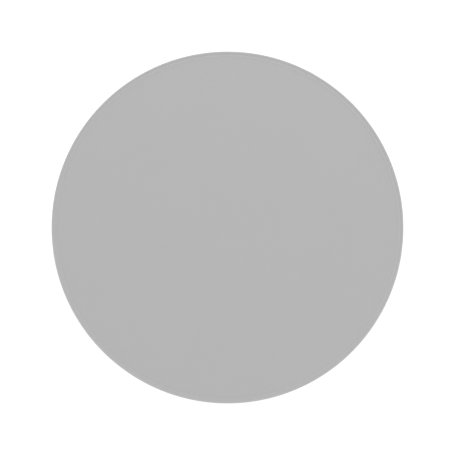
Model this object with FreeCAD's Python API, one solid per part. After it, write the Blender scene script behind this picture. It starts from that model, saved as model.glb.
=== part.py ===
import FreeCAD, Part
import math
import os

# Collapsible backdrop panel: a flat cloth disc held taut by a spring-steel hoop sewn into its hem.
#
# The disc stands upright in the XZ plane. The front faces -Y, +Z is up, and the origin is the
# centre of the disc, midway through its thickness. Angles run from +X towards +Z, seen from the
# front. Lengths are in millimetres.
#
# The disc pops open by itself and bends in half about a horizontal line through its middle. The
# cloth, the hoop and the hem are continuous pieces on the real object. Here each is cut at that
# line into an upper and a lower solid, so that the lower half can turn to the back.

# ---- driving dimensions -------------------------------------------------------------------------

DISC_RADIUS = 750.0

# cloth stack, from the middle of the thickness outwards: liner, then one panel on each side
LINER_THICKNESS = 0.24
PANEL_THICKNESS = 0.5
PLY_GAP = 0.02
CLOTH_RADIUS = 741.0

# hem: a woven tape folded over the hoop and sewn down on both faces of the cloth
TAPE_THICKNESS = 0.6
RIM_HALF_DEPTH = 5.5
RIM_CORNER_RADIUS = 0.6
RIM_FLAT_INNER_RADIUS = 744.4
HEM_SLOPE_RADIUS = 738.5
HEM_INNER_RADIUS = 728.0

# hoop: one flat band whose two ends lie one inside the other under a crimped ferrule
BAND_WIDTH = 8.0
BAND_THICKNESS = 1.2
BAND_OUTER_RADIUS = 747.8
BAND_END_GAP = 0.05
SPLICE_ANGLE = 235.0
SPLICE_HALF_LENGTH = 50.0
JOGGLE_LENGTH = 20.0
FERRULE_HALF_LENGTH = 30.0
FERRULE_WALL = 0.4
CRIMP_COUNT = 3
CRIMP_PITCH = 16.0
CRIMP_LENGTH = 5.0
CRIMP_DEPTH = 0.15
SLEEVE_HALF_LENGTH = 41.0
SLEEVE_WALL = 0.3
SLIP_FIT = 0.05

# sewing thread: two parallel lockstitch rows, seen on both faces of the hem
THREAD_WIDTH = 0.6
THREAD_HEIGHT = 0.35
OUTER_ROW_RADIUS = 736.3
INNER_ROW_RADIUS = 730.3

# lap where the two ends of the hem tape meet
LAP_ANGLE = 62.0
LAP_LENGTH = 28.0
LAP_CLEARANCE = 0.02

# hanging loop: a folded length of webbing, both ends sewn to the back of the hem at the top of the
# disc, which hangs down behind the cloth in a drop and turns up over the rim
WEBBING_WIDTH = 20.0
WEBBING_THICKNESS = 1.2
TAIL_BOTTOM_Z = 728.8
TAIL_TOP_Z = 738.2
LOOP_TOP_Z = 727.0
LOOP_DROP = 55.0
LOOP_BULB_RADIUS = 7.1
TACK_WIDTH = 16.0
TACK_HEIGHT = 1.8
TACK_RAISE = 0.3
TACK_EDGE = 1.0

# small blank woven label sewn to the back panel just inside the hem
LABEL_ANGLE = 286.0
LABEL_WIDTH = 40.0
LABEL_DROP = 25.0
LABEL_THICKNESS = 0.3
LABEL_SEAM_INSET = 2.0
LABEL_HEM_GAP = 1.5

# gap left at the fold line between the upper and the lower solids, and how many degrees an arc of
# the hoop is drawn past that line before it is cut there
FOLD_GAP = 0.3
FOLD_OVERRUN = 10.0

# ---- derived dimensions -------------------------------------------------------------------------

LINER_FACE = LINER_THICKNESS / 2
PANEL_INNER_FACE = LINER_FACE + PLY_GAP
PANEL_OUTER_FACE = PANEL_INNER_FACE + PANEL_THICKNESS
LEG_OUTER_FACE = PANEL_OUTER_FACE + PLY_GAP + TAPE_THICKNESS
BAND_INNER_RADIUS = BAND_OUTER_RADIUS - BAND_THICKNESS
SPLICE_OUTER_RADIUS = BAND_INNER_RADIUS - BAND_END_GAP
SPLICE_INNER_RADIUS = SPLICE_OUTER_RADIUS - BAND_THICKNESS
TAIL_INNER_FACE = LEG_OUTER_FACE + THREAD_HEIGHT + SLIP_FIT
TAIL_OUTER_FACE = TAIL_INNER_FACE + 2 * WEBBING_THICKNESS

Y_AXIS = FreeCAD.Vector(0, 1, 0)
ORIGIN = FreeCAD.Vector(0, 0, 0)


# ---- shared shapes ------------------------------------------------------------------------------

def arc_degrees(length):
    """The angle that an arc of this length takes up at the hoop."""
    return math.degrees(length / BAND_OUTER_RADIUS)


def straight_edges(points):
    return [Part.LineSegment(start, end).toShape() for start, end in zip(points, points[1:])]


def section_point(radius, y):
    """A point of a section, drawn where the disc crosses the +X side of the XY plane."""
    return FreeCAD.Vector(radius, y, 0)


def ring(section, start=0.0, sweep=360.0):
    """Turn the closed edges of a section about the disc's axis."""
    face = Part.Face(Part.Wire(section))
    face.rotate(ORIGIN, Y_AXIS, -start)
    return face.revolve(ORIGIN, -Y_AXIS, sweep)


def box_section(inner_radius, outer_radius, low_y, high_y):
    corners = [
        section_point(inner_radius, low_y),
        section_point(outer_radius, low_y),
        section_point(outer_radius, high_y),
        section_point(inner_radius, high_y),
    ]
    return straight_edges(corners + [corners[0]])


def disc(radius, low_y, high_y):
    return Part.makeCylinder(radius, high_y - low_y, FreeCAD.Vector(0, low_y, 0), Y_AXIS)


def half(shape, side):
    """The part of a whole piece above (side 1) or below (side -1) the fold line."""
    reach = 1.1 * DISC_RADIUS
    block = Part.makeBox(2 * reach, 2 * reach, reach, FreeCAD.Vector(-reach, -reach, FOLD_GAP / 2))
    if side < 0:
        block = block.mirror(ORIGIN, FreeCAD.Vector(0, 0, 1))
    return shape.common(block)


def band_arc(inner_radius, outer_radius, half_width, start, end):
    section = box_section(inner_radius, outer_radius, -half_width, half_width)
    return ring(section, start, end - start)


# ---- cloth --------------------------------------------------------------------------------------

def front_panel():
    return disc(CLOTH_RADIUS, -PANEL_OUTER_FACE, -PANEL_INNER_FACE)


def back_panel():
    return disc(CLOTH_RADIUS, PANEL_INNER_FACE, PANEL_OUTER_FACE)


def blackout_liner():
    return disc(CLOTH_RADIUS, -LINER_FACE, LINER_FACE)


# ---- hem ----------------------------------------------------------------------------------------

def hem_side(offset, side):
    """The back (side 1) or front (side -1) of the hem's outer skin, moved out by offset.

    Its edges run from the leg up the slope and round the corner of the rim.
    """
    rise = RIM_HALF_DEPTH - LEG_OUTER_FACE
    run = RIM_FLAT_INNER_RADIUS - HEM_SLOPE_RADIUS
    mitre = offset * math.tan(math.atan2(rise, run) / 2)
    diagonal = RIM_CORNER_RADIUS * (1 - math.sqrt(0.5))
    leg_y = LEG_OUTER_FACE + offset
    rim_y = RIM_HALF_DEPTH + offset
    outer = DISC_RADIUS + offset
    corner_start = section_point(outer - RIM_CORNER_RADIUS, side * rim_y)
    corner_middle = section_point(outer - diagonal, side * (rim_y - diagonal))
    corner_end = section_point(outer, side * (rim_y - RIM_CORNER_RADIUS))
    straights = straight_edges([
        section_point(HEM_INNER_RADIUS, side * leg_y),
        section_point(HEM_SLOPE_RADIUS - mitre, side * leg_y),
        section_point(RIM_FLAT_INNER_RADIUS - mitre, side * rim_y),
        corner_start,
    ])
    corner = Part.Arc(corner_start, corner_middle, corner_end).toShape()
    return straights + [corner]


def hem_skin(outer_offset, inner_offset):
    """A closed U-shaped section between two offsets of the hem's outer skin."""
    edges = []
    for offset in (outer_offset, inner_offset):
        rim = DISC_RADIUS + offset
        rim_y = RIM_HALF_DEPTH + offset - RIM_CORNER_RADIUS
        edges += hem_side(offset, 1) + hem_side(offset, -1)
        edges += straight_edges([section_point(rim, rim_y), section_point(rim, -rim_y)])
    for side in (1, -1):
        edges += straight_edges([
            section_point(HEM_INNER_RADIUS, side * (LEG_OUTER_FACE + outer_offset)),
            section_point(HEM_INNER_RADIUS, side * (LEG_OUTER_FACE + inner_offset)),
        ])
    return Part.__sortEdges__(edges)


def hem_binding():
    return ring(hem_skin(0.0, -TAPE_THICKNESS))


def binding_lap():
    section = hem_skin(LAP_CLEARANCE + TAPE_THICKNESS, LAP_CLEARANCE)
    sweep = arc_degrees(LAP_LENGTH)
    return ring(section, LAP_ANGLE - sweep / 2, sweep)


def stitch_row(radius, base_y, start=0.0, sweep=360.0):
    """The thread seen on the front and on the back of the hem, as one solid for each face."""
    threads = []
    for side in (-1, 1):
        faces = sorted([side * base_y, side * (base_y + THREAD_HEIGHT)])
        section = box_section(radius - THREAD_WIDTH / 2, radius + THREAD_WIDTH / 2, *faces)
        threads.append(ring(section, start, sweep))
    return threads


def hem_stitch(radius, side):
    """A stitch row's upper or lower half, broken where the lap of the tape covers it."""
    cover_start = LAP_ANGLE - arc_degrees(LAP_LENGTH) / 2 - arc_degrees(LAP_CLEARANCE)
    cover_sweep = arc_degrees(LAP_LENGTH) + 2 * arc_degrees(LAP_CLEARANCE)
    cover_section = box_section(
        radius - THREAD_WIDTH, radius + THREAD_WIDTH, -RIM_HALF_DEPTH, RIM_HALF_DEPTH
    )
    cover = ring(cover_section, cover_start, cover_sweep)
    pieces = []
    for thread in stitch_row(radius, LEG_OUTER_FACE):
        pieces += half(thread, side).cut(cover).Solids
    return Part.makeCompound(pieces)


def binding_lap_stitch():
    """The hem's two stitch rows where they run over the lap."""
    base_y = LEG_OUTER_FACE + LAP_CLEARANCE + TAPE_THICKNESS
    sweep = arc_degrees(LAP_LENGTH)
    threads = []
    for radius in (OUTER_ROW_RADIUS, INNER_ROW_RADIUS):
        threads += stitch_row(radius, base_y, LAP_ANGLE - sweep / 2, sweep)
    return Part.makeCompound(threads)


# ---- hoop ---------------------------------------------------------------------------------------

def disc_point(radius, angle):
    turn = math.radians(angle)
    return FreeCAD.Vector(radius * math.cos(turn), 0, radius * math.sin(turn))


def arc_edge(radius, start, end):
    middle = (start + end) / 2
    return Part.Arc(
        disc_point(radius, start), disc_point(radius, middle), disc_point(radius, end)
    ).toShape()


def line_edge(start_radius, start, end_radius, end):
    return Part.LineSegment(
        disc_point(start_radius, start), disc_point(end_radius, end)
    ).toShape()


def spring_hoop_upper():
    return half(band_arc(BAND_INNER_RADIUS, BAND_OUTER_RADIUS, BAND_WIDTH / 2, 0, 360), 1)


def spring_hoop_lower_right():
    """The end of the band that lies outermost in the splice."""
    end = SPLICE_ANGLE - arc_degrees(SPLICE_HALF_LENGTH)
    past_fold = 360 + FOLD_OVERRUN
    arc = band_arc(BAND_INNER_RADIUS, BAND_OUTER_RADIUS, BAND_WIDTH / 2, end, past_fold)
    return half(arc, -1)


def spring_hoop_lower_left():
    """The other end of the band, which steps inwards to lie inside the first."""
    joggle_end = SPLICE_ANGLE - arc_degrees(SPLICE_HALF_LENGTH) - arc_degrees(PLY_GAP)
    joggle_start = joggle_end - arc_degrees(JOGGLE_LENGTH)
    splice_end = SPLICE_ANGLE + arc_degrees(SPLICE_HALF_LENGTH)
    start = 180 - FOLD_OVERRUN
    outline = [
        arc_edge(BAND_OUTER_RADIUS, start, joggle_start),
        line_edge(BAND_OUTER_RADIUS, joggle_start, SPLICE_OUTER_RADIUS, joggle_end),
        arc_edge(SPLICE_OUTER_RADIUS, joggle_end, splice_end),
        line_edge(SPLICE_OUTER_RADIUS, splice_end, SPLICE_INNER_RADIUS, splice_end),
        arc_edge(SPLICE_INNER_RADIUS, splice_end, joggle_end),
        line_edge(SPLICE_INNER_RADIUS, joggle_end, BAND_INNER_RADIUS, joggle_start),
        arc_edge(BAND_INNER_RADIUS, joggle_start, start),
        line_edge(BAND_INNER_RADIUS, start, BAND_OUTER_RADIUS, start),
    ]
    face = Part.Face(Part.Wire(outline))
    face.translate(-Y_AXIS * BAND_WIDTH / 2)
    return half(face.extrude(Y_AXIS * BAND_WIDTH), -1)


def splice_tube(cavity_inner, cavity_outer, cavity_half_width, wall, half_length):
    """A flat tube around the two plies of the splice, following the hoop's curve."""
    span = arc_degrees(half_length)
    start = SPLICE_ANGLE - span
    end = SPLICE_ANGLE + span
    outside = band_arc(
        cavity_inner - wall, cavity_outer + wall, cavity_half_width + wall, start, end
    )
    cavity = band_arc(
        cavity_inner, cavity_outer, cavity_half_width, start - span, end + span
    )
    return outside.cut(cavity)


def hoop_ferrule():
    """A steel tube pressed over both ends, with a row of shallow crimps on its outer face."""
    cavity_inner = SPLICE_INNER_RADIUS - SLIP_FIT
    cavity_outer = BAND_OUTER_RADIUS + SLIP_FIT
    cavity_half = BAND_WIDTH / 2 + SLIP_FIT
    tube = splice_tube(cavity_inner, cavity_outer, cavity_half, FERRULE_WALL, FERRULE_HALF_LENGTH)
    crimp_floor = cavity_outer + FERRULE_WALL - CRIMP_DEPTH
    crimp_span = arc_degrees(CRIMP_LENGTH)
    for index in range(CRIMP_COUNT):
        centre = SPLICE_ANGLE + arc_degrees(CRIMP_PITCH) * (index - (CRIMP_COUNT - 1) / 2)
        start = centre - crimp_span / 2
        end = start + crimp_span
        groove = band_arc(crimp_floor, crimp_floor + FERRULE_WALL, BAND_WIDTH, start, end)
        tube = tube.cut(groove)
    return tube


def ferrule_sleeve():
    """Heat-shrink tube that keeps the ferrule from wearing through the hem."""
    cavity_inner = SPLICE_INNER_RADIUS - 2 * SLIP_FIT - FERRULE_WALL
    cavity_outer = BAND_OUTER_RADIUS + 2 * SLIP_FIT + FERRULE_WALL
    cavity_half = BAND_WIDTH / 2 + 2 * SLIP_FIT + FERRULE_WALL
    return splice_tube(cavity_inner, cavity_outer, cavity_half, SLEEVE_WALL, SLEEVE_HALF_LENGTH)


# ---- hanging loop -------------------------------------------------------------------------------

def webbing_prism(face):
    """Stretch an outline in the YZ plane over the webbing's width."""
    face.translate(FreeCAD.Vector(-WEBBING_WIDTH / 2, 0, 0))
    return face.extrude(FreeCAD.Vector(WEBBING_WIDTH, 0, 0))


def drop_face(radius, near_y, top_points, far_turn):
    """A drop whose near side is upright: a round end, and straight sides up to top_points."""
    centre_y = TAIL_INNER_FACE + LOOP_BULB_RADIUS
    centre_z = LOOP_TOP_Z - LOOP_DROP
    near = FreeCAD.Vector(0, near_y, centre_z)
    bottom = FreeCAD.Vector(0, centre_y, centre_z - radius)
    far = FreeCAD.Vector(
        0, centre_y + radius * math.cos(far_turn), centre_z + radius * math.sin(far_turn)
    )
    corners = [far] + [FreeCAD.Vector(0, y, z) for y, z in top_points] + [near]
    edges = straight_edges(corners)
    edges.append(Part.Arc(near, bottom, far).toShape())
    return Part.Face(Part.Wire(edges))


def hang_loop():
    """The drop, whose two plies meet at the top, less its eye."""
    centre_y = TAIL_INNER_FACE + LOOP_BULB_RADIUS
    reach = math.hypot(TAIL_OUTER_FACE - centre_y, LOOP_DROP)
    top_turn = math.atan2(LOOP_DROP, TAIL_OUTER_FACE - centre_y)
    far_turn = top_turn - math.acos(LOOP_BULB_RADIUS / reach)
    top = [(TAIL_OUTER_FACE, LOOP_TOP_Z), (TAIL_INNER_FACE, LOOP_TOP_Z)]
    outside = webbing_prism(drop_face(LOOP_BULB_RADIUS, TAIL_INNER_FACE, top, far_turn))
    eye_radius = LOOP_BULB_RADIUS - WEBBING_THICKNESS
    eye_near = TAIL_INNER_FACE + WEBBING_THICKNESS
    eye_height = eye_radius * (1 + math.cos(far_turn)) / math.sin(far_turn)
    apex = [(eye_near, LOOP_TOP_Z - LOOP_DROP + eye_height)]
    eye = webbing_prism(drop_face(eye_radius, eye_near, apex, far_turn))
    return outside.cut(eye)


def loop_tails():
    """Both ends of the webbing, one on the other, on the back of the hem."""
    return Part.makeBox(
        WEBBING_WIDTH,
        TAIL_OUTER_FACE - TAIL_INNER_FACE,
        TAIL_TOP_Z - TAIL_BOTTOM_Z,
        FreeCAD.Vector(-WEBBING_WIDTH / 2, TAIL_INNER_FACE, TAIL_BOTTOM_Z),
    )


def loop_bar_tacks():
    """Two dense bars of thread across the tails, one near each end."""
    tacks = []
    for low_z in (TAIL_BOTTOM_Z + TACK_EDGE, TAIL_TOP_Z - TACK_EDGE - TACK_HEIGHT):
        corner = FreeCAD.Vector(-TACK_WIDTH / 2, TAIL_OUTER_FACE, low_z)
        tacks.append(Part.makeBox(TACK_WIDTH, TACK_RAISE, TACK_HEIGHT, corner))
    return Part.makeCompound(tacks)


# ---- label --------------------------------------------------------------------------------------

def label_block(inset, low_y, height):
    """A plate on the back panel with its long side along the hem, drawn in by inset all round."""
    block = Part.makeBox(
        LABEL_DROP - 2 * inset,
        height,
        LABEL_WIDTH - 2 * inset,
        FreeCAD.Vector(
            HEM_INNER_RADIUS - LABEL_HEM_GAP - LABEL_DROP + inset,
            low_y,
            inset - LABEL_WIDTH / 2,
        ),
    )
    block.rotate(ORIGIN, Y_AXIS, -LABEL_ANGLE)
    return block


def label():
    return label_block(0, PANEL_OUTER_FACE + PLY_GAP, LABEL_THICKNESS)


def label_stitch():
    base_y = PANEL_OUTER_FACE + PLY_GAP + LABEL_THICKNESS
    outside = label_block(LABEL_SEAM_INSET, base_y, THREAD_HEIGHT)
    inset = LABEL_SEAM_INSET + THREAD_WIDTH
    inside = label_block(inset, base_y - THREAD_HEIGHT, 3 * THREAD_HEIGHT)
    return outside.cut(inside)


# ---- output -------------------------------------------------------------------------------------

def nodes():
    made = {}
    for name, whole in (
        ("front_panel", front_panel()),
        ("back_panel", back_panel()),
        ("blackout_liner", blackout_liner()),
        ("hem_binding", hem_binding()),
    ):
        made[name + "_upper"] = half(whole, 1)
        made[name + "_lower"] = half(whole, -1)
    for name, radius in (
        ("outer_stitch_row", OUTER_ROW_RADIUS),
        ("inner_stitch_row", INNER_ROW_RADIUS),
    ):
        made[name + "_upper"] = hem_stitch(radius, 1)
        made[name + "_lower"] = hem_stitch(radius, -1)
    made["spring_hoop_upper"] = spring_hoop_upper()
    made["spring_hoop_lower_right"] = spring_hoop_lower_right()
    made["spring_hoop_lower_left"] = spring_hoop_lower_left()
    made["hoop_ferrule"] = hoop_ferrule()
    made["ferrule_sleeve"] = ferrule_sleeve()
    made["binding_lap"] = binding_lap()
    made["binding_lap_stitch"] = binding_lap_stitch()
    made["hang_loop"] = hang_loop()
    made["loop_tails"] = loop_tails()
    made["loop_bar_tacks"] = loop_bar_tacks()
    made["label"] = label()
    made["label_stitch"] = label_stitch()
    return made


os.makedirs("parts", exist_ok=True)
for name, shape in nodes().items():
    solids = shape.Solids
    if not solids or not shape.isValid():
        raise ValueError(name + " is not a valid solid")
    piece = solids[0] if len(solids) == 1 else Part.makeCompound(solids)
    piece.exportStep("parts/" + name + ".step")
    print(f"{name}: {len(solids)} solid(s), {piece.Volume:.1f} mm3")
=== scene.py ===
import math

import bmesh
import bpy
import numpy as np
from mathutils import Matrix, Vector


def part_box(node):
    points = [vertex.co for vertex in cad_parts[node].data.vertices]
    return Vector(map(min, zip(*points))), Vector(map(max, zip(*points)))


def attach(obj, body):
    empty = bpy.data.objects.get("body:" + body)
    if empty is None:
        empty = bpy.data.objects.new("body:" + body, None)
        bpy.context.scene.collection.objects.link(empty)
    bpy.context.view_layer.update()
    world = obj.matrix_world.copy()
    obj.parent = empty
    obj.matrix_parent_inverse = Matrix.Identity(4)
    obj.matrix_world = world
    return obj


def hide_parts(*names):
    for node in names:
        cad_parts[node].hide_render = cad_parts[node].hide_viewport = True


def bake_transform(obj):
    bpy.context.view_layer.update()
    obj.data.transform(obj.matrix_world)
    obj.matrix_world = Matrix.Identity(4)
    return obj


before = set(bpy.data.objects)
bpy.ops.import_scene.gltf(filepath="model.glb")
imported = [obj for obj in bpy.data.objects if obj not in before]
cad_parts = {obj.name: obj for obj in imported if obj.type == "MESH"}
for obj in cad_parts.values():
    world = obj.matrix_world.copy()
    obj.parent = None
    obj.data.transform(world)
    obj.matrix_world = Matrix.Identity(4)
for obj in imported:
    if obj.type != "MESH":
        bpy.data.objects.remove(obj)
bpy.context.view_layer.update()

# A round collapsible backdrop panel. Lengths are in metres. The disc stands in the XZ plane with its
# front towards -Y. A turn is an angle in radians from +X towards +Z, seen from the front.

# ---- spring hoop -------------------------------------------------------------
# One flat band of tempered spring steel, bent once round the disc. Its ends lie one inside the other
# for 100 mm, low on the left. It holds the cloth taut and makes the disc pop open when it is let go.

hoop_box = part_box("spring_hoop_upper")
hoop_outer_radius = hoop_box[1][0]
hoop_half_width = hoop_box[1][1]
hoop_thickness = 0.0012
hoop_round_edge = 0.0004
splice_turn = math.radians(235)
splice_half_length = 0.05
splice_gap = 0.00005
joggle_length = 0.02
tongue_share = 0.72
tongue_length = 0.012
hoop_step = 0.01
temper_blue = (0.20, 0.24, 0.31)
temper_straw = (0.36, 0.33, 0.28)


def smooth_step(value):
    value = np.clip(value, 0.0, 1.0)
    return value * value * (3 - 2 * value)


def on_disc(radius, turn, y):
    """Points at a radius and turn of the disc, at depth y."""
    radius, turn, y = np.broadcast_arrays(radius, turn, y)
    return np.stack([radius * np.cos(turn), y, radius * np.sin(turn)], axis=-1)


def rounded_bar(half_width, half_height, corner, corner_steps=3):
    """The outline of a flat bar with rounded edges, as (across, out) points."""
    points = []
    for quarter in range(4):
        for step in range(corner_steps + 1):
            angle = math.pi / 2 * (quarter + step / corner_steps)
            side_x = 1 if quarter in (0, 3) else -1
            side_y = 1 if quarter in (0, 1) else -1
            points.append((
                side_x * (half_width - corner) + corner * math.cos(angle),
                side_y * (half_height - corner) + corner * math.sin(angle),
            ))
    return np.array(points)


def in_scene(name, data):
    """Puts a mesh, lamp or camera into the scene."""
    made = bpy.data.objects.new(name, data)
    bpy.context.scene.collection.objects.link(made)
    return made


def lay_uv(mesh, values):
    """Keeps where each corner of the mesh lies on the flat piece, in metres, for its weave."""
    layer = mesh.uv_layers.new(name="lay")
    layer.data.foreach_set("uv", np.asarray(values, np.float32).ravel())


def piece_from(name, points, faces, uv_values=None, sharp_degrees=None):
    mesh = bpy.data.meshes.new(name)
    mesh.from_pydata(points.reshape(-1, 3).tolist(), [], faces)
    if uv_values is not None:
        lay_uv(mesh, uv_values)
    shell = bmesh.new()
    shell.from_mesh(mesh)
    bmesh.ops.recalc_face_normals(shell, faces=shell.faces)
    shell.to_mesh(mesh)
    shell.free()
    mesh.shade_smooth()
    if sharp_degrees is not None:
        mesh.set_sharp_from_angle(angle=math.radians(sharp_degrees))
    return in_scene(name, mesh)


def skin(name, rows, along, across, ring=False, sharp_degrees=None):
    """A closed skin over rows of points, each row one section. A ring joins its last row to its
    first; any other skin is capped. along and across say how far round each row and point lies."""
    count, sides = rows.shape[:2]
    spans = count if ring else count - 1
    row = np.arange(spans)[:, None]
    point = np.arange(sides)[None, :]
    next_row = (row + 1) % count
    next_point = (point + 1) % sides
    quads = np.stack([
        row * sides + point,
        row * sides + next_point,
        next_row * sides + next_point,
        next_row * sides + point,
    ], axis=-1)
    low, high = along[:spans, None], along[1:spans + 1, None]
    left, right = across[None, :sides], across[None, 1:sides + 1]
    corners = [np.broadcast_arrays(*pair) for pair in
               ((low, left), (low, right), (high, right), (high, left))]
    uv_values = np.stack([np.stack(corner, axis=-1) for corner in corners], axis=2)
    faces = quads.reshape(-1, 4).tolist()
    uv_values = uv_values.reshape(-1, 2)
    if not ring:
        faces.append(list(range(sides)))
        faces.append(list(range((count - 1) * sides, count * sides)))
        ends = [np.stack([np.full(sides, at), across[:sides]], axis=-1)
                for at in (along[0], along[-1])]
        uv_values = np.concatenate([uv_values, *ends])
    return piece_from(name, rows, faces, uv_values, sharp_degrees)


def lengths_round(section):
    """How far round a closed outline each of its points lies, ending back at the first."""
    steps = np.linalg.norm(np.roll(section, -1, axis=0) - section, axis=1)
    return np.concatenate([[0.0], np.cumsum(steps)])


def spring_hoop_rows():
    overlap = splice_half_length / hoop_outer_radius
    start = splice_turn - overlap
    end = splice_turn + overlap + 2 * math.pi
    count = int((end - start) * hoop_outer_radius / hoop_step)
    turns = np.linspace(start, end, count)
    joggle_end = splice_turn + 2 * math.pi - overlap
    joggle = smooth_step((turns - joggle_end) * hoop_outer_radius / joggle_length + 1)
    middle = hoop_outer_radius - hoop_thickness / 2 - joggle * (hoop_thickness + splice_gap)
    to_end = np.minimum(turns - start, end - turns) * hoop_outer_radius
    tongue = tongue_share + (1 - tongue_share) * smooth_step(to_end / tongue_length)
    section = rounded_bar(hoop_half_width, hoop_thickness / 2, hoop_round_edge)
    rows = on_disc(
        middle[:, None] + section[None, :, 1],
        turns[:, None],
        tongue[:, None] * section[None, :, 0],
    )
    return rows, (turns - start) * hoop_outer_radius, lengths_round(section)


def new_finish(name, roughness, metallic=0.0):
    """A new material and its shader."""
    material = bpy.data.materials.new(name)
    material.use_nodes = True
    shader = material.node_tree.nodes["Principled BSDF"]
    shader.inputs["Roughness"].default_value = roughness
    shader.inputs["Metallic"].default_value = metallic
    return material, shader


def node(material, kind, inputs=None, **settings):
    """Adds a node. Each input is a value, or another node's output to link."""
    made = material.node_tree.nodes.new("ShaderNode" + kind)
    for name, value in settings.items():
        setattr(made, name, value)
    for name, value in (inputs or {}).items():
        if isinstance(value, bpy.types.NodeSocket):
            material.node_tree.links.new(value, made.inputs[name])
        else:
            made.inputs[name].default_value = value
    return made


def maths(material, operation, first, second=0.0, third=0.0):
    inputs = {0: first, 1: second, 2: third}
    return node(material, "Math", inputs, operation=operation).outputs[0]


def lay_of(material):
    """How far along and across its flat piece each point lies, in metres."""
    place = node(material, "UVMap", uv_map="lay").outputs["UV"]
    parts = node(material, "SeparateXYZ", {0: place})
    return parts.outputs["X"], parts.outputs["Y"]


def stretched_noise(material, along, across, along_scale, across_scale, detail=2.0):
    """Noise from 0 to 1 that can be longer one way than the other."""
    far_along = maths(material, "MULTIPLY", along, along_scale)
    far_across = maths(material, "MULTIPLY", across, across_scale)
    place = node(material, "CombineXYZ", {0: far_along, 1: far_across}).outputs[0]
    inputs = {"Vector": place, "Scale": 1.0, "Detail": detail}
    return node(material, "TexNoise", inputs).outputs["Fac"]


def between(material, first, second, value):
    """A colour between two others, following a value from 0 to 1."""
    difference = [b - a for a, b in zip(first, second)]
    inputs = {0: value, 1: difference, 2: first}
    return node(material, "VectorMath", inputs, operation="MULTIPLY_ADD").outputs["Vector"]


def shaded(material, colour, *changes):
    """The colour made lighter and darker by each (value from 0 to 1, amount)."""
    factor = 1.0
    for value, amount in changes:
        swing = maths(material, "MULTIPLY_ADD", value, amount, -amount / 2)
        factor = maths(material, "ADD", swing, factor)
    inputs = {0: colour, "Scale": factor}
    return node(material, "VectorMath", inputs, operation="SCALE").outputs["Vector"]


def varied(material, middle, value, amount):
    """A number that strays from its middle by the amount, following a value from 0 to 1."""
    return maths(material, "MULTIPLY_ADD", value, amount, middle - amount / 2)


def raise_by(material, shader, height, distance, strength=1.0):
    """Adds a relief of this depth, in metres, on top of any that the shader already has."""
    inputs = {"Height": height, "Distance": distance, "Strength": strength}
    already = shader.inputs["Normal"].links
    if already:
        inputs["Normal"] = already[0].from_socket
    relief = node(material, "Bump", inputs)
    material.node_tree.links.new(relief.outputs["Normal"], shader.inputs["Normal"])


def show_colour(material, shader, colour):
    material.node_tree.links.new(colour, shader.inputs["Base Color"])


def show_roughness(material, shader, value):
    material.node_tree.links.new(value, shader.inputs["Roughness"])


def spring_steel_finish():
    """Blued strip steel: rolled streaks along the band, and a temper colour that drifts from blue
    to straw."""
    material, shader = new_finish("blued_spring_steel", 0.34, metallic=1.0)
    along, across = lay_of(material)
    streaks = stretched_noise(material, along, across, 9.0, 2600.0, 3.0)
    temper = stretched_noise(material, along, across, 5.0, 60.0)
    tempered = between(material, temper_blue, temper_straw, temper)
    show_colour(material, shader, shaded(material, tempered, (streaks, 0.5)))
    show_roughness(material, shader, varied(material, 0.34, streaks, 0.22))
    raise_by(material, shader, streaks, 0.00002)
    return material


rows, along, across = spring_hoop_rows()
spring_hoop = skin("spring_hoop", rows, along, across, sharp_degrees=50)
spring_hoop.data.materials.append(spring_steel_finish())
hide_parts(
    "spring_hoop_upper", "spring_hoop_lower_right", "spring_hoop_lower_left"
)


def bends_with_disc(piece):
    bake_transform(piece)


bends_with_disc(spring_hoop)

# ---- hoop ferrule ------------------------------------------------------------
# A short flat tube of zinc-plated steel pressed over both ends of the hoop. Three crimps bite into
# its outer face.

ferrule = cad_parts["hoop_ferrule"]
zinc_grey = (0.62, 0.62, 0.60)
spangle_scale = 900.0


def zinc_plate_finish():
    """Dull bright zinc with spangle, fine press marks, and grey rub marks."""
    material, shader = new_finish("zinc_plate", 0.38, metallic=1.0)
    place = node(material, "TexCoord").outputs["Object"]
    spangle = node(material, "TexVoronoi", {"Vector": place, "Scale": spangle_scale}).outputs["Distance"]
    rub = node(material, "TexNoise", {"Vector": place, "Scale": 140.0, "Detail": 4.0}).outputs["Fac"]
    show_colour(material, shader, shaded(material, zinc_grey, (spangle, 0.12), (rub, 0.5)))
    show_roughness(material, shader, varied(material, 0.38, rub, 0.3))
    raise_by(material, shader, rub, 0.00003)
    return material


ferrule.data.materials.clear()
ferrule.data.materials.append(zinc_plate_finish())

# ---- shrink sleeve -----------------------------------------------------------
# Black heat-shrink tube over the ferrule, which keeps its edges from wearing through the hem. It has
# drawn in past the ends of the ferrule onto the band.

sleeve_half_length = 0.041
sleeve_wall = 0.0003
sleeve_slack = 0.00005
sleeve_neck_length = 0.004
sleeve_corner = 0.0007
sleeve_inner_corner = 0.0005
wrinkle_height = 0.00004
wrinkle_rate = 2100
sleeve_steps = 56
ferrule_half_length = 0.030
ferrule_wall = 0.0004
sleeve_black = (0.014, 0.014, 0.015)


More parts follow.
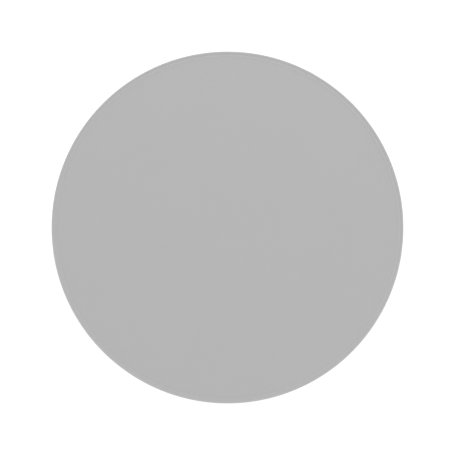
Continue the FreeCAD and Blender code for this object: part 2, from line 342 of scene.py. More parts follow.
def shrink_sleeve_rows():
    places = np.linspace(-sleeve_half_length, sleeve_half_length, sleeve_steps)
    turns = splice_turn + places / hoop_outer_radius
    neck_end = ferrule_half_length + sleeve_neck_length
    over_ferrule = smooth_step((neck_end - np.abs(places)) / sleeve_neck_length)
    both_plies = 2 * hoop_thickness + splice_gap
    middle = hoop_outer_radius - both_plies / 2
    grow = (ferrule_wall + sleeve_slack) * over_ferrule + sleeve_slack + sleeve_wall
    wrinkle = wrinkle_height * np.sin(places * wrinkle_rate) * (1 - over_ferrule)
    half_height = both_plies / 2 + grow + wrinkle
    half_width = hoop_half_width + grow + wrinkle
    rows, linings = [], []
    for turn, high, wide in zip(turns, half_height, half_width):
        outside = rounded_bar(wide, high, sleeve_corner)
        inside = rounded_bar(wide - sleeve_wall, high - sleeve_wall, sleeve_inner_corner)
        rows.append(on_disc(middle + outside[:, 1], turn, outside[:, 0]))
        linings.append(on_disc(middle + inside[:, 1], turn, inside[:, 0]))
    # the wall runs along the outside, in at the far end and back along the inside
    around = np.array(rows + linings[::-1])
    lengths = np.concatenate([places, places[::-1], places[:1]]) + sleeve_half_length
    end_outline = rounded_bar(half_width[0], half_height[0], sleeve_corner)
    return around, lengths, lengths_round(end_outline)


def heat_shrink_finish():
    """Satin black polyolefin with faint lines along the tube."""
    material, shader = new_finish("black_heat_shrink", 0.5)
    along, across = lay_of(material)
    lines = stretched_noise(material, along, across, 60.0, 2400.0, 3.0)
    show_colour(material, shader, shaded(material, sleeve_black, (lines, 0.5)))
    show_roughness(material, shader, varied(material, 0.48, lines, 0.16))
    raise_by(material, shader, lines, 0.00004)
    return material


rows, along, across = shrink_sleeve_rows()
shrink_sleeve = skin("shrink_sleeve", rows, along, across, ring=True, sharp_degrees=60)
shrink_sleeve.data.materials.append(heat_shrink_finish())
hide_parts("ferrule_sleeve")
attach(shrink_sleeve, "lower_half")

# ---- blackout liner ----------------------------------------------------------
# A thin, closely woven black cloth between the two panels, so that no light shines through. It is
# cut as a disc and caught in the hem with them.

rim_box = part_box("hem_binding_upper")
disc_radius = rim_box[1][0]
cloth_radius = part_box("front_panel_upper")[1][0]
hem_inner_radius = 0.728
liner_thickness = 0.00024
liner_black = (0.02, 0.02, 0.022)
liner_thread_pitch = 0.0004
cloth_spacing = 0.0032
widest_cloth_spacing = 0.014
spacing_growth = 1.07
cloth_edge_points = 1440
fewest_ring_points = 90
crowding_limit = 0.45
pucker_height = 0.00014
pucker_reach = 0.03
pull_height = 0.0007
pull_reach = 0.12
billow_height = 0.0012
held_width = 0.004


def waves(turn, counts):
    """A ripple round the disc from -1 to 1, uneven but closed, made of waves of these counts."""
    return sum(np.sin(turn * count + 0.7 * count * count) for count in counts) / len(counts)


def cloth_lift(radius, turn):
    """How far the stretched cloth stands from its flat plane. The hem's stitching puckers it a
    little, the hoop pulls long shallow waves into it, and it billows by about a millimetre between
    the hem and the middle."""
    inward = np.clip(hem_inner_radius - radius, 0, None)
    uneven = 0.65 + 0.35 * waves(turn, (5, 9, 14))
    near_hem = np.exp(-inward / pucker_reach)
    puckers = pucker_height * uneven * waves(turn, (149, 187, 233)) * near_hem
    from_hem = inward / (inward + pucker_reach)
    pull = pull_height * waves(turn, (17, 23, 31)) * from_hem * np.exp(-inward / pull_reach)
    share = np.clip(radius / hem_inner_radius, 0, 1)
    billow = billow_height * share ** 2 * (1 - share ** 2) * 4 * waves(turn, (2, 3))
    held = smooth_step((cloth_radius + held_width / 2 - radius) / held_width)
    return (puckers + pull + billow) * held


def ring_radii():
    """Rings of cloth from the edge inwards, close together at the hem and wider in the middle."""
    radii, radius, gap = [], cloth_radius, cloth_spacing
    while radius > widest_cloth_spacing:
        radii.append(radius)
        radius -= gap
        gap = min(gap * spacing_growth, widest_cloth_spacing)
    return radii


def cloth_disc(name, y, thickness):
    """A disc of cloth whose rings have half as many points wherever they would crowd."""
    sides = cloth_edge_points
    rings, faces, start = [], [], 0
    before = None
    for radius in ring_radii():
        gap = before[2] - radius if before else cloth_spacing
        crowded = 2 * math.pi * radius / sides < crowding_limit * gap
        if crowded and sides > fewest_ring_points:
            sides //= 2
        turns = np.arange(sides) * (2 * math.pi / sides)
        rings.append(on_disc(radius, turns, y + cloth_lift(radius, turns)))
        if before:
            outer_start, outer_sides, _ = before
            for index in range(sides):
                inner = (start + index, start + (index + 1) % sides)
                if outer_sides == sides:
                    outer = (outer_start + index, outer_start + (index + 1) % sides)
                    faces.append((inner[0], inner[1], outer[1], outer[0]))
                else:
                    outer = [outer_start + (2 * index + step) % outer_sides for step in range(3)]
                    faces.append((inner[0], outer[1], outer[0]))
                    faces.append((inner[0], inner[1], outer[1]))
                    faces.append((inner[1], outer[2], outer[1]))
        before = (start, sides, radius)
        start += sides
    rings.append(on_disc(0.0, np.zeros(1), y + cloth_lift(0.0, np.zeros(1))))
    last = before[0]
    faces += [(start, last + (index + 1) % sides, last + index) for index in range(sides)]
    points = np.concatenate(rings)
    mesh = bpy.data.meshes.new(name)
    mesh.from_pydata(points.tolist(), [], faces)
    corners = np.zeros(len(mesh.loops), np.int32)
    mesh.loops.foreach_get("vertex_index", corners)
    lay_uv(mesh, points[corners][:, [0, 2]])
    mesh.shade_smooth()
    piece = in_scene(name, mesh)
    ply = piece.modifiers.new("ply thickness", "SOLIDIFY")
    ply.thickness = thickness
    ply.offset = 0.0
    return piece


def plain_weave(material, along, across, pitch):
    """The height, 0 to 1, of threads that cross and pass over and under one another in turn."""
    warp = maths(material, "COSINE", maths(material, "MULTIPLY", along, 2 * math.pi / pitch))
    weft = maths(material, "COSINE", maths(material, "MULTIPLY", across, 2 * math.pi / pitch))
    half_warp = maths(material, "SINE", maths(material, "MULTIPLY", along, math.pi / pitch))
    half_weft = maths(material, "SINE", maths(material, "MULTIPLY", across, math.pi / pitch))
    over = maths(material, "GREATER_THAN", maths(material, "MULTIPLY", half_warp, half_weft), 0.0)
    warp_over = maths(material, "MULTIPLY", warp, over)
    under = maths(material, "SUBTRACT", 1.0, over)
    both = maths(material, "MULTIPLY_ADD", weft, under, warp_over)
    return maths(material, "MULTIPLY_ADD", both, 0.5, 0.5)


def blackout_cloth_finish():
    """Black coated lining: a close plain weave with a faint shine."""
    material, shader = new_finish("blackout_cloth", 0.62)
    along, across = lay_of(material)
    weave = plain_weave(material, along, across, liner_thread_pitch)
    coat = stretched_noise(material, along, across, 40.0, 40.0, 3.0)
    show_colour(material, shader, shaded(material, liner_black, (weave, 0.3), (coat, 0.3)))
    show_roughness(material, shader, varied(material, 0.6, coat, 0.2))
    raise_by(material, shader, weave, 0.00005)
    shader.inputs["Sheen Weight"].default_value = 0.1
    return material


blackout_liner = cloth_disc("blackout_liner", 0.0, liner_thickness)
blackout_liner.data.materials.append(blackout_cloth_finish())
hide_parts("blackout_liner_upper", "blackout_liner_lower")
bends_with_disc(blackout_liner)

# ---- front and back panels ---------------------------------------------------
# Two discs of the same matt, light grey polyester cloth, one on each side of the liner. They are cut
# just smaller than the hoop, and the hem holds them stretched.

panel_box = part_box("front_panel_upper")
panel_middle = (panel_box[0][1] + panel_box[1][1]) / 2
panel_thickness = panel_box[1][1] - panel_box[0][1]
panel_face = -panel_box[0][1]
cloth_grey = (0.395, 0.395, 0.395)
cloth_thread_pitch = 0.00055


def grey_cloth_finish():
    """Brushed light grey polyester: a fine plain weave, a few thicker threads, and faint clouding
    from the dye, with the soft edge sheen of a napped cloth."""
    material, shader = new_finish("brushed_grey_polyester", 0.88)
    along, across = lay_of(material)
    weave = plain_weave(material, along, across, cloth_thread_pitch)
    warp_slubs = stretched_noise(material, along, across, 1500.0, 22.0)
    weft_slubs = stretched_noise(material, along, across, 22.0, 1500.0)
    cloud = stretched_noise(material, along, across, 4.5, 4.5, 3.0)
    changes = ((weave, 0.05), (warp_slubs, 0.045), (weft_slubs, 0.045), (cloud, 0.02))
    show_colour(material, shader, shaded(material, cloth_grey, *changes))
    show_roughness(material, shader, varied(material, 0.88, warp_slubs, 0.1))
    raise_by(material, shader, weave, 0.00006, 0.5)
    slubs = maths(material, "ADD", warp_slubs, weft_slubs)
    raise_by(material, shader, slubs, 0.00006, 0.5)
    shader.inputs["Sheen Weight"].default_value = 0.12
    shader.inputs["Sheen Roughness"].default_value = 0.6
    shader.inputs["Specular IOR Level"].default_value = 0.3
    return material


grey_cloth = grey_cloth_finish()
for name, y in (("front_panel", panel_middle), ("back_panel", -panel_middle)):
    panel = cloth_disc(name, y, panel_thickness)
    panel.data.materials.append(grey_cloth)
    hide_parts(name + "_upper", name + "_lower")
    bends_with_disc(panel)

# ---- hem binding -------------------------------------------------------------
# A grey woven tape folded over the hoop and sewn down through both panels. It lies flat on the cloth,
# dips a little under each row of stitches, and swells over the band into the disc's round edge.

tape_grey = (0.418, 0.418, 0.418)
tape_rib_pitch = 0.0007
tape_ribs_to_threads = 1.6
tape_thickness = 0.0006
rim_half_depth = rim_box[1][1]
rim_round = 0.0036
ply_gap = 0.00002
leg_face = panel_face + ply_gap + tape_thickness
outer_row_radius = 0.7363
inner_row_radius = 0.7303
between_rows = (outer_row_radius + inner_row_radius) / 2
stitch_dip = 0.00012
edge_tuck = 0.00004
row_puff = 0.00003
swell_start = (0.0025, 0.0004)
swell_middle = 0.0053
swell_end = (0.0081, 0.0005)
edge_wander = 0.00016
wander_fade = 0.002
puff_height = 0.00006
puff_width = 0.0016
tape_steps_round = 1440
lap_turn = math.radians(62)


def smooth_line(points, steps):
    """A smooth curve through the points, with this many steps from each to the next."""
    points = np.array(points, float)
    ends = np.concatenate([2 * points[:1] - points[1:2], points, 2 * points[-1:] - points[-2:-1]])
    curve = []
    for a, b, c, d in zip(ends, ends[1:], ends[2:], ends[3:]):
        for t in np.arange(steps) / steps:
            curve.append(0.5 * (
                2 * b + (c - a) * t + (2 * a - 5 * b + 4 * c - d) * t ** 2
                + (3 * b - a - 3 * c + d) * t ** 3
            ))
    return np.array(curve + [points[-1]])


def rim_quarter(radius, half_depth):
    """A squared-off quarter round, from where the rim is deepest to its outermost line."""
    turns = np.radians([90, 60, 30, 0])
    return [
        (radius - rim_round * (1 - math.cos(turn) ** 0.8), half_depth * math.sin(turn) ** 0.8)
        for turn in turns
    ]


def tape_outline():
    """The tape's outer face from its back edge to the rim, as (radius, y)."""
    leg = [
        (hem_inner_radius, leg_face - edge_tuck),
        (inner_row_radius, leg_face - stitch_dip),
        (between_rows, leg_face + row_puff),
        (outer_row_radius, leg_face - stitch_dip),
    ]
    swell = [
        (outer_row_radius + swell_start[0], leg_face + swell_start[1]),
        (outer_row_radius + swell_middle, 0.5 * (leg_face + rim_half_depth)),
        (outer_row_radius + swell_end[0], rim_half_depth - swell_end[1]),
    ]
    return smooth_line(leg + swell + rim_quarter(disc_radius, rim_half_depth), 2)


def moved_in(outline, distance):
    """An open (radius, y) line moved towards its inner side."""
    direction = np.gradient(outline, axis=0)
    direction /= np.linalg.norm(direction, axis=1)[:, None]
    return outline + distance * np.stack([direction[:, 1], -direction[:, 0]], axis=1)


def both_sides(back_half):
    """A line from the back edge over the rim to the front edge."""
    front_half = back_half[:-1][::-1] * [1, -1]
    return np.concatenate([back_half, front_half])


def tape_section(outer_offset=0.0, thickness=tape_thickness):
    """The closed section of the folded tape: its outer face, then its inner face back."""
    back = tape_outline()
    outside = both_sides(moved_in(back, -outer_offset))
    inside = both_sides(moved_in(back, thickness - outer_offset)[::2])
    return np.concatenate([outside, inside[::-1]])


def tape_points(section, turns):
    """The tape's section carried round the disc. It rides the cloth's puckers, and its free edges
    wander in and out a little."""
    radius, y = section[None, :, 0], section[None, :, 1]
    turns = turns[:, None]
    free_edge = smooth_step((inner_row_radius - radius) / wander_fade)
    wander = edge_wander * free_edge * waves(turns, (37, 61, 88, 131))
    unsewn = np.exp(-((radius - between_rows) / puff_width) ** 2)
    puff = puff_height * unsewn * waves(turns, (97, 149, 187)) * np.sign(y)
    return on_disc(radius + wander, turns, y + puff + cloth_lift(radius, turns))


def stripe_at(material, place, middle, half_width):
    """1 along a line, fading to 0 at half_width on both sides of it."""
    away = maths(material, "ABSOLUTE", maths(material, "SUBTRACT", place, middle))
    inputs = {"Value": away, "From Min": 0.0, "From Max": half_width, "To Min": 1.0, "To Max": 0.0}
    return node(material, "MapRange", inputs, interpolation_type="SMOOTHSTEP").outputs["Result"]


def darkened_as_painted_shade(material, colour, value, amount):
    """The colour made darker by up to the amount, following a value from 0 to 1, as painted shade."""
    inputs = {0: colour, "Scale": maths(material, "MULTIPLY_ADD", value, -amount, 1.0)}
    return node(material, "VectorMath", inputs, operation="SCALE").outputs["Vector"]


tape_width = lengths_round(both_sides(tape_outline()))[-2]
groove_past_row = 0.0035
groove_half_width = 0.0045
groove_from_rim = tape_width / 2 - (outer_row_radius + groove_past_row - hem_inner_radius)
# how far either side of the rim the painted shade on the tape reaches
rim_painted_shade_half_width = 0.004


def hem_tape_finish():
    """Woven polyester tape: close ribs across its width and fine warp threads along it. Its colour is
    darkened as painted shade in the groove beside the hoop and along the rim."""
    material, shader = new_finish("ribbed_grey_tape", 0.82)
    along, across = lay_of(material)
    closer = maths(material, "MULTIPLY", across, tape_ribs_to_threads)
    weave = plain_weave(material, along, closer, tape_rib_pitch)
    slubs = stretched_noise(material, along, across, 18.0, 1800.0)
    cloud = stretched_noise(material, along, across, 9.0, 60.0)
    from_rim = maths(material, "ABSOLUTE", maths(material, "SUBTRACT", across, tape_width / 2))
    patchy = varied(material, 1.0, stretched_noise(material, along, across, 60.0, 90.0, 4.0), 1.2)
    in_groove = stripe_at(material, from_rim, groove_from_rim, groove_half_width)
    # painted shade: the tape's colour is darkened, unevenly, in the groove beside the hoop
    groove_painted_shade = maths(material, "MULTIPLY", in_groove, patchy)
    on_rim = stripe_at(material, from_rim, 0.0, rim_painted_shade_half_width)
    # painted shade: the tape's colour is darkened, unevenly, along the rim
    rim_painted_shade = maths(material, "MULTIPLY", on_rim, patchy)
    tape_before_painted_shade = shaded(material, tape_grey, (weave, 0.08), (slubs, 0.05), (cloud, 0.03))
    groove_shaded_tape = darkened_as_painted_shade(material, tape_before_painted_shade, groove_painted_shade, 0.05)
    show_colour(material, shader, darkened_as_painted_shade(material, groove_shaded_tape, rim_painted_shade, 0.03))
    show_roughness(material, shader, varied(material, 0.82, slubs, 0.12))
    raise_by(material, shader, weave, 0.0001, 0.6)
    raise_by(material, shader, slubs, 0.00006, 0.5)
    shader.inputs["Sheen Weight"].default_value = 0.1
    shader.inputs["Sheen Roughness"].default_value = 0.5
    shader.inputs["Specular IOR Level"].default_value = 0.35
    return material


section = tape_section()
hem_tape = hem_tape_finish()
# the tape starts and ends under its lap
turns = lap_turn + np.linspace(0, 2 * math.pi, tape_steps_round + 1)
hem_binding = skin(
    "hem_binding", tape_points(section, turns[:-1]), turns * disc_radius,
    lengths_round(section), ring=True, sharp_degrees=60,
)
hem_binding.data.materials.append(hem_tape)
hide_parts("hem_binding_upper", "hem_binding_lower")
bends_with_disc(hem_binding)

# ---- hem lap -----------------------------------------------------------------
# Where the tape's two ends meet, near the top on the right, its finishing end is laid over its start
# for 28 mm, on both faces and round the rim. It is the same grey tape, and the hem's two rows of
# stitches run on through it.

lap_half = 0.014 / disc_radius
lap_clearance = 0.00002
lap_least_share = 0.06
lap_easing = 0.009


def lap_offset(turns):
    """How far the lap stands above the tape: its full thickness, easing down where it runs on."""
    eased = smooth_step((lap_turn + lap_half - turns) * disc_radius / lap_easing)
    return lap_least_share + (1 - lap_least_share) * eased


def lap_rows(turns):
    rows = []
    for turn in turns:
        rise = lap_offset(turn)
        section = tape_section(lap_clearance + rise * tape_thickness, rise * tape_thickness)
        rows.append(tape_points(section, np.array([turn]))[0])
    return np.array(rows)


turns = lap_turn + lap_half * np.linspace(-1, 1, 29)
hem_lap = skin(
    "hem_lap", lap_rows(turns), turns * disc_radius, lengths_round(section), sharp_degrees=60,
)
hem_lap.data.materials.append(hem_tape)
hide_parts("binding_lap")
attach(hem_lap, "upper_half")

# ---- hem stitching -----------------------------------------------------------
# Two rows of grey lockstitch, 6 mm apart, sewn through the tape and all three cloths, eight stitches
# to the inch. Each stitch dives into its needle hole at both ends, on the front and on the back.

stitch_pitch = 0.0032
stitch_half_share = 0.46
thread_radius = 0.00019
thread_twist_pitch = 0.0008
thread_grey = (0.405, 0.405, 0.405)


def row_turns(radius):
    """The turns of the stitches in a row, and which of them lie on the lap."""
    count = round(2 * math.pi * radius / stitch_pitch)
    turns = (np.arange(count) + 0.5) * (2 * math.pi / count)
    return turns, np.abs(turns - lap_turn) < lap_half


def threads(name, starts, ends, outward, radius=thread_radius, steps=5, sides=6):
    """Short lengths of thread. Each rises from its start, lies on the surface and dives at its end."""
    t = np.linspace(0, 1, steps + 1)
    rise = radius * (1.5 * np.sin(math.pi * t) ** 0.6 - 0.7)
    girth = radius * (0.62 + 0.38 * np.sin(math.pi * t) ** 0.5)
    length = ends - starts
    forward = length / np.linalg.norm(length, axis=1)[:, None]
    side = np.cross(forward, outward)
    path = (starts[:, None] + length[:, None] * t[None, :, None]
            + outward[:, None] * rise[None, :, None])
    angle = np.arange(sides) * (2 * math.pi / sides)
    ring_side = side[:, None, None] * np.cos(angle)[None, None, :, None]
    ring_out = outward[:, None, None] * np.sin(angle)[None, None, :, None] * 0.85
    points = path[:, :, None] + (ring_side + ring_out) * girth[None, :, None, None]
    row = np.arange(steps)[:, None]
    point = np.arange(sides)[None, :]
    turned = (point + 1) % sides
    quads = np.stack([
        row * sides + point, row * sides + turned,
        (row + 1) * sides + turned, (row + 1) * sides + point,
    ], axis=-1).reshape(-1, 4)
    size = (steps + 1) * sides
    shift = np.arange(len(starts)) * size
    faces = (quads[None] + shift[:, None, None]).reshape(-1, 4).tolist()
    near = np.arange(sides)[::-1]
    far = steps * sides + np.arange(sides)
    for cap in (near, far):
        faces += (cap[None] + shift[:, None]).tolist()
    span = float(np.linalg.norm(length, axis=1).mean())
    u_low, v_low = np.broadcast_arrays(row / steps * span, point / sides)
    u_high, v_high = np.broadcast_arrays((row + 1) / steps * span, (point + 1) / sides)
    one = np.stack([
        np.stack([u_low, v_low], -1), np.stack([u_low, v_high], -1),
        np.stack([u_high, v_high], -1), np.stack([u_high, v_low], -1),
    ], axis=2).reshape(-1, 2)
    caps = np.zeros((2 * sides * len(starts), 2))
    uv_values = np.concatenate([np.tile(one, (len(starts), 1)), caps])
    return piece_from(name, points, faces, uv_values, sharp_degrees=70)


def face_y(radius):
    """The height of the tape's outer face above the middle of the disc, where it lies flat."""
    line = tape_outline()
    return np.interp(radius, line[:, 0], line[:, 1])


def hem_stitches(radius, turns, rise=0.0):
    """Starts, ends and outward directions of stitches at these turns, front and back."""
    half_stitch = stitch_half_share * stitch_pitch / radius
    parts = []
    for side in (-1, 1):
        outward = np.tile([0.0, side, 0.0], (len(turns), 1))
        places = []
        for turn in (turns - half_stitch, turns + half_stitch):
            y = side * (face_y(radius) + rise) + cloth_lift(radius, turn)
            places.append(on_disc(radius, turn, y))
        parts.append((places[0], places[1], outward))
    return [np.concatenate(part) for part in zip(*parts)]


def thread_finish(name, colour):
    """Twisted polyester sewing thread: two plies that show as slanting bands."""
    material, shader = new_finish(name, 0.6)
    along, around = lay_of(material)
    twist = maths(material, "MULTIPLY_ADD", along, 2 * math.pi / thread_twist_pitch)
    turned = maths(material, "MULTIPLY_ADD", around, 2 * math.pi, twist)
    ply = maths(material, "MULTIPLY_ADD", maths(material, "SINE", turned), 0.5, 0.5)
    fuzz = stretched_noise(material, along, around, 4000.0, 12.0)
    show_colour(material, shader, shaded(material, colour, (ply, 0.22), (fuzz, 0.12)))
    show_roughness(material, shader, varied(material, 0.58, fuzz, 0.16))
    raise_by(material, shader, ply, 0.00006)
    shader.inputs["Sheen Weight"].default_value = 0.15
    return material


grey_thread = thread_finish("grey_polyester_thread", thread_grey)
for name, radius in (
    ("outer_stitching", outer_row_radius), ("inner_stitching", inner_row_radius)
):
    turns, on_lap = row_turns(radius)
    stitch_row = threads(name, *hem_stitches(radius, turns[~on_lap]))
    stitch_row.data.materials.append(grey_thread)
    node_name = name.replace("stitching", "stitch_row")
    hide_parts(node_name + "_upper", node_name + "_lower")
    bends_with_disc(stitch_row)

# ---- hem lap stitching -------------------------------------------------------
# The same two rows of grey thread where they run on over the lap. They are sewn through both
# thicknesses of tape, so they stand a tape's thickness higher than the rest of the hem.


def lap_stitches():
    parts = []
    for radius in (outer_row_radius, inner_row_radius):
        turns, on_lap = row_turns(radius)
        turns = turns[on_lap]
        rise = lap_clearance + lap_offset(turns) * tape_thickness
        parts.append(hem_stitches(radius, turns, rise))
    return [np.concatenate(part) for part in zip(*parts)]


hem_lap_stitching = threads("hem_lap_stitching", *lap_stitches())
hem_lap_stitching.data.materials.append(grey_thread)
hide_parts("binding_lap_stitch")
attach(hem_lap_stitching, "upper_half")

# ---- hanging loop ------------------------------------------------------------
# A strip of 20 mm black webbing folded in half, its two ends tacked to the back of the hem at the top
# of the disc. It hangs down behind the cloth in a drop, and turns up over the rim onto a hook.

tails_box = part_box("loop_tails")
drop_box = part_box("hang_loop")
webbing_half_width = tails_box[1][0]
webbing_ply = (tails_box[1][1] - tails_box[0][1]) / 2
webbing_gap = 0.00006
webbing_thickness = webbing_ply - webbing_gap
rib_pitch = 0.0016
rib_height = 0.00006
selvedge_wave = 0.00007
webbing_step = 0.0004
webbing_black = (0.016, 0.016, 0.018)
chevron_width = 0.0022
chevron_slope = 0.9
float_pitch = 0.0011


def webbing_line():
    """The middle of the strip as (y, z): down the near side, round the drop, and up to the tails."""
    near_y = tails_box[0][1] + webbing_ply / 2
    far_y = tails_box[1][1] - webbing_ply / 2
    top_z, neck_z = tails_box[1][2], drop_box[1][2]
    bulb_radius = (drop_box[1][1] - drop_box[0][1]) / 2 - webbing_ply / 2
    centre_y = near_y + bulb_radius
    centre_z = drop_box[0][2] + webbing_ply / 2 + bulb_radius
    far_turn = math.radians(12)
    points = [(near_y, z) for z in np.linspace(top_z, centre_z, 8)]
    for turn in np.linspace(math.pi, 2 * math.pi + far_turn, 12)[1:]:
        y = centre_y + bulb_radius * math.cos(turn)
        z = centre_z + bulb_radius * math.sin(turn)
        points.append((y, z))
    last_y, last_z = points[-1]
    for share in (0.25, 0.5, 0.75):
        points.append((last_y + share * (far_y - last_y), last_z + share * (neck_z - last_z)))
    points += [(far_y, z) for z in np.linspace(neck_z, top_z, 4)]
    return smooth_line(points, 12)


def hanging_loop_rows():
    line = webbing_line()
    lengths = np.concatenate([[0], np.cumsum(np.linalg.norm(np.diff(line, axis=0), axis=1))])
    along = np.linspace(0, lengths[-1], int(lengths[-1] / webbing_step))
    line = np.stack([np.interp(along, lengths, line[:, axis]) for axis in range(2)], axis=1)
    forward = np.gradient(line, axis=0)
    forward /= np.linalg.norm(forward, axis=1)[:, None]
    outward = np.stack([-forward[:, 1], forward[:, 0]], axis=1)
    half_thickness = webbing_thickness / 2
    across = np.linspace(-1, 1, 15)
    face = webbing_half_width * across
    rounding = half_thickness * np.sqrt(1 - (0.985 * across) ** 8)
    section = np.concatenate([
        np.stack([face, rounding], axis=1), np.stack([face[::-1], -rounding[::-1]], axis=1),
    ])
    rib = 1 - rib_height / half_thickness * np.cos(along * (2 * math.pi / rib_pitch)) ** 2
    selvedge = selvedge_wave * np.sin(along * (2 * math.pi / rib_pitch))
    x = section[None, :, 0] * (1 + selvedge[:, None] / webbing_half_width)
    out = section[None, :, 1] * rib[:, None]
    y = line[:, None, 0] + out * outward[:, None, 0]
    z = line[:, None, 1] + out * outward[:, None, 1]
    rows = np.stack(np.broadcast_arrays(x, y, z), axis=-1)
    return rows, along, lengths_round(section)


def black_webbing_finish():
    """Black polypropylene webbing: slanting floats that meet in chevrons, dull, with a dry bloom."""
    material, shader = new_finish("black_polypropylene_webbing", 0.55)
    along, across = lay_of(material)
    column = maths(material, "PINGPONG", across, chevron_width)
    slant = maths(material, "MULTIPLY_ADD", column, chevron_slope, along)
    floats = maths(material, "MULTIPLY", slant, 2 * math.pi / float_pitch)
    floats = maths(material, "SINE", floats)
    floats = maths(material, "MULTIPLY_ADD", floats, 0.5, 0.5)
    yarn = stretched_noise(material, along, across, 700.0, 2600.0, 3.0)
    bloom = stretched_noise(material, along, across, 60.0, 60.0, 3.0)
    changes = ((floats, 0.6), (yarn, 0.5), (bloom, 0.3))
    show_colour(material, shader, shaded(material, webbing_black, *changes))
    show_roughness(material, shader, varied(material, 0.55, yarn, 0.2))
    raise_by(material, shader, floats, 0.00014)
    raise_by(material, shader, yarn, 0.00005)
    shader.inputs["Sheen Weight"].default_value = 0.05
    shader.inputs["Specular IOR Level"].default_value = 0.3
    return material


rows, along, across = hanging_loop_rows()
hanging_loop = skin("hanging_loop", rows, along, across, sharp_degrees=75)
hanging_loop.data.materials.append(black_webbing_finish())
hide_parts("hang_loop", "loop_tails")
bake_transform(hanging_loop)

# ---- loop bar tacks ----------------------------------------------------------
# Two dense zigzag bars of black polyester thread, 16 mm wide, one above the other. They hold both
# ends of the webbing to the hem, and lie on the outer of its two plies.

tack_half_width = 0.008
tack_half_height = 0.0009
tack_crossings = 34
tack_thread_radius = 0.0002
thread_black = (0.02, 0.02, 0.022)


def bar_tack_stitches():
    tack_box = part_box("loop_bar_tacks")
    face = tails_box[1][1]
    parts = []
    for middle_z in (tack_box[0][2] + tack_half_height, tack_box[1][2] - tack_half_height):
        x = np.linspace(-tack_half_width, tack_half_width, tack_crossings + 1)
        z = middle_z + tack_half_height * np.where(np.arange(tack_crossings + 1) % 2, 1, -1)
        zigzag = np.stack([x, np.full_like(x, face), z], axis=1)
        parts.append((zigzag[:-1], zigzag[1:]))
    starts, ends = (np.concatenate(part) for part in zip(*parts))
    return starts, ends, np.tile([0.0, 1.0, 0.0], (len(starts), 1))


black_thread = thread_finish("black_polyester_thread", thread_black)
bar_tacks = threads("bar_tacks", *bar_tack_stitches(), radius=tack_thread_radius, steps=6)
bar_tacks.data.materials.append(black_thread)
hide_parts("loop_bar_tacks")
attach(bar_tacks, "upper_half")

# ---- label -------------------------------------------------------------------
# A small blank label of off-white polyester damask, cut from a ribbon and folded under at its left
# and right ends. It is sewn to the back panel just inside the hem, low on the disc.

label_turn = math.radians(286)
label_half_width = 0.02
label_drop = 0.025
label_hem_gap = 0.0015
label_top_radius = hem_inner_radius - label_hem_gap
label_thickness = 0.0003
label_fold = 0.005
label_fold_thickness = 0.00012
label_fold_ease = 0.0006
label_gap = 0.00003
label_edge_share = 0.35
label_edge_width = 0.0004
label_ripple = 0.00005
label_ripple_rate = 600
label_white = (0.60, 0.60, 0.58)
label_thread_pitch = 0.0003
label_float_share = 0.4


def on_label(across, down, rise):
    """Points on the back of the disc at a distance along and below the label's top edge."""
    radial = np.array([math.cos(label_turn), 0.0, math.sin(label_turn)])
    sideways = np.array([-math.sin(label_turn), 0.0, math.cos(label_turn)])
    across, down, rise = np.broadcast_arrays(across, down, rise)
    flat = ((label_top_radius - down)[..., None] * radial + across[..., None] * sideways)
    radius = np.hypot(flat[..., 0], flat[..., 2])
    turn = np.arctan2(flat[..., 2], flat[..., 0])
    flat[..., 1] = panel_face + label_gap + cloth_lift(radius, turn) + rise
    return flat


def label_rows():
    across = np.linspace(-label_half_width, label_half_width, 49)
    face = np.linspace(label_edge_width, label_drop - label_edge_width, 25)
    down = np.concatenate([[0.0], face, [label_drop]])
    crown = label_thickness * np.where(np.isin(down, face), 1.0, label_edge_share)
    into_fold = np.abs(across) - label_half_width + label_fold
    fold = label_fold_thickness * smooth_step(into_fold / label_fold_ease)
    ripple = label_ripple * np.sin(across * label_ripple_rate)
    rows = []
    for place, thicker, wave in zip(across, fold, ripple):
        top = on_label(place, down, crown + thicker + wave * (down > 0) * (down < label_drop))
        under = on_label(place, down[::-1], 0.0)
        rows.append(np.concatenate([top, under]))
    section = np.concatenate([
        np.stack([down, crown], axis=1), np.stack([down[::-1], np.zeros_like(down)], axis=1),
    ])
    return np.array(rows), across + label_half_width, lengths_round(section)


def label_finish():
    """Off-white damask satin: long floats along the label, with a soft shine."""
    material, shader = new_finish("label_damask", 0.5)
    along, across = lay_of(material)
    floats = maths(material, "MULTIPLY", across, label_float_share)
    satin = plain_weave(material, along, floats, label_thread_pitch)
    yarn = stretched_noise(material, along, across, 300.0, 3000.0)
    show_colour(material, shader, shaded(material, label_white, (satin, 0.12), (yarn, 0.1)))
    show_roughness(material, shader, varied(material, 0.5, yarn, 0.2))
    raise_by(material, shader, satin, 0.00004)
    shader.inputs["Sheen Weight"].default_value = 0.2
    return material


rows, along, across = label_rows()
woven_label = skin("woven_label", rows, along, across, sharp_degrees=60)
woven_label.data.materials.append(label_finish())
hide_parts("label")
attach(woven_label, "lower_half")

# ---- label stitching ---------------------------------------------------------
# One row of small lockstitches in black polyester thread all round the label, 2 mm in from its
# edge. They go through the label and the back panel.

label_seam_inset = 0.002
label_stitch_pitch = 0.0024
label_stitch_gap = 0.06
label_thread_radius = 0.00014


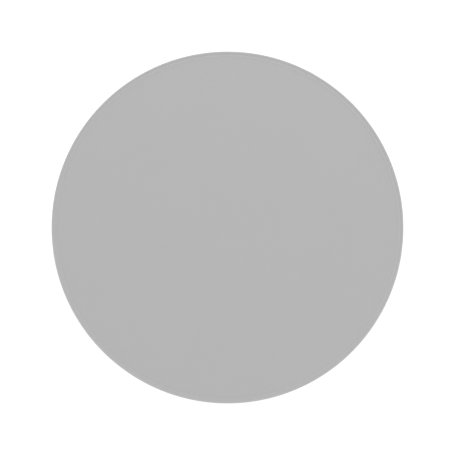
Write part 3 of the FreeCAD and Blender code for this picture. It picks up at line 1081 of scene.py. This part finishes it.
def label_stitches():
    left, right = -label_half_width + label_seam_inset, label_half_width - label_seam_inset
    top, bottom = label_seam_inset, label_drop - label_seam_inset
    corners = [(left, top), (right, top), (right, bottom), (left, bottom), (left, top)]
    starts, ends = [], []
    for (x0, d0), (x1, d1) in zip(corners, corners[1:]):
        count = round(math.hypot(x1 - x0, d1 - d0) / label_stitch_pitch)
        for index in range(count):
            first, last = index + label_stitch_gap, index + 1 - label_stitch_gap
            for share, places in ((first, starts), (last, ends)):
                x = x0 + (x1 - x0) * share / count
                down = d0 + (d1 - d0) * share / count
                folded = abs(x) > label_half_width - label_fold
                rise = label_thickness + label_fold_thickness * folded
                places.append(on_label(x, down, rise))
    starts, ends = np.array(starts), np.array(ends)
    return starts, ends, np.tile([0.0, 1.0, 0.0], (len(starts), 1))


label_stitching = threads("label_stitching", *label_stitches(), radius=label_thread_radius)
label_stitching.data.materials.append(black_thread)
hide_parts("label_stitch")
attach(label_stitching, "lower_half")

# ---- studio ------------------------------------------------------------------
# A plain white floor well below the disc, an even white room, one large soft light above the camera,
# and a camera straight in front.

floor_height = -1.5
floor_half_size = 60.0
floor_white = (0.93, 0.93, 0.93)
room_light = 1.12
lens_mm, sensor_mm = 85.0, 36.0
disc_share_of_view = 0.7741
farthest_seen = 200.0
key_light_place = (1.4, -3.2, 4.0)
key_light_size = 3.0
key_light_power = 32.0


def studio_floor():
    mesh = bpy.data.meshes.new("floor")
    corners = [(x * floor_half_size, y * floor_half_size, floor_height)
               for x, y in ((-1, -1), (1, -1), (1, 1), (-1, 1))]
    mesh.from_pydata(corners, [], [(0, 1, 2, 3)])
    material, shader = new_finish("floor_paint", 0.9)
    place = node(material, "TexCoord").outputs["Object"]
    grain = node(material, "TexNoise", {"Vector": place, "Scale": 6.0, "Detail": 3.0}).outputs["Fac"]
    show_colour(material, shader, shaded(material, floor_white, (grain, 0.01)))
    shader.inputs["Specular IOR Level"].default_value = 0.2
    mesh.materials.append(material)
    in_scene("floor", mesh)


def soft_light(name, place, size, power):
    lamp = bpy.data.lights.new(name, "AREA")
    lamp.shape = "DISK"
    lamp.size = size
    lamp.energy = power
    light = in_scene(name, lamp)
    light.location = place
    towards = -light.location
    light.rotation_euler = towards.to_track_quat("-Z", "Y").to_euler()


def front_camera():
    lens = bpy.data.cameras.new("front_camera")
    lens.lens = lens_mm
    lens.sensor_width = sensor_mm
    lens.clip_end = farthest_seen
    distance = disc_radius * lens_mm / sensor_mm / (disc_share_of_view / 2) + rim_half_depth
    camera = in_scene("front_camera", lens)
    camera.location = (0, -distance, 0)
    camera.rotation_euler = (math.pi / 2, 0, 0)
    bpy.context.scene.camera = camera


world = bpy.data.worlds.new("white room")
world.use_nodes = True
world.node_tree.nodes["Background"].inputs["Color"].default_value = (1, 1, 1, 1)
world.node_tree.nodes["Background"].inputs["Strength"].default_value = room_light
bpy.context.scene.world = world
bpy.context.scene.view_settings.view_transform = "Standard"
studio_floor()
soft_light("key light", key_light_place, key_light_size, key_light_power)
front_camera()
